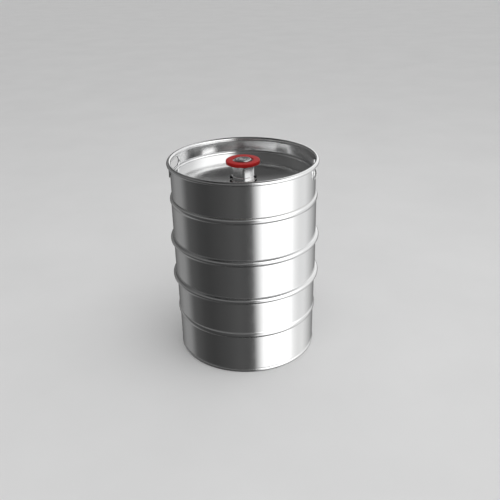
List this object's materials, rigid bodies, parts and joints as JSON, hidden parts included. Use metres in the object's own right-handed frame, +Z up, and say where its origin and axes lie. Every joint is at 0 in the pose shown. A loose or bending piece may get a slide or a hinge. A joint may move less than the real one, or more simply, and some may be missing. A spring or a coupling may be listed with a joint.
{
  "type": "beer keg",
  "caption": "Stainless steel beer keg with rolled hoops, rolled chimes, hand holes, a domed base and a flanged neck with a sprung double tapping valve and a coloured ring.",
  "frame": {"origin": "centre of the keg's footprint, on the surface that it stands on", "axes": "+Z up along the keg's axis, X through the two hand holes"},
  "size_m": [0.395, 0.395, 0.532],
  "materials": {
    "polished_steel": "bright polished stainless sheet",
    "fitting_steel": "turned stainless",
    "spring_steel": "drawn stainless wire",
    "blackened_steel": "black oxide",
    "black_rubber": "matt",
    "red_plastic": "satin moulded"
  },
  "bodies": {
    "keg": {"upper_shell": "polished_steel", "lower_shell": "polished_steel", "top_chime": "polished_steel", "bottom_chime": "polished_steel", "neck_boss": "fitting_steel", "lock_screw_left": "blackened_steel", "lock_screw_right": "blackened_steel", "neck_gasket": "black_rubber", "fitting_body": "fitting_steel", "retaining_ring": "spring_steel", "spring_cage": "fitting_steel", "gas_valve_spring": "spring_steel"},
    "gas_valve": {"valve_plate": "fitting_steel", "gas_valve_seal": "black_rubber", "seal_backing_ring": "fitting_steel", "down_tube": "fitting_steel", "beer_spring_seat": "fitting_steel", "beer_valve_spring": "spring_steel"},
    "beer_valve": {"beer_valve_poppet": "fitting_steel", "beer_valve_seal": "black_rubber"},
    "cap_ring": {"cap_ring": "red_plastic"}
  },
  "joints": [
    {"name": "gas_valve_press", "type": "slide", "parent": "keg", "child": "gas_valve", "axis": [0, 0, -1], "range_m": [0, 0.008], "stiffness_N_per_m": 8000, "springref_m": -0.01, "deforming": ["gas_valve_spring"]},
    {"name": "beer_valve_press", "type": "slide", "parent": "gas_valve", "child": "beer_valve", "axis": [0, 0, -1], "range_m": [0, 0.006], "stiffness_N_per_m": 2500, "springref_m": -0.008, "deforming": ["beer_valve_spring"]},
    {"name": "cap_ring_lift", "type": "slide", "parent": "keg", "child": "cap_ring", "axis": [0, 0, 1], "range_m": [0, 0.06]}
  ]
}
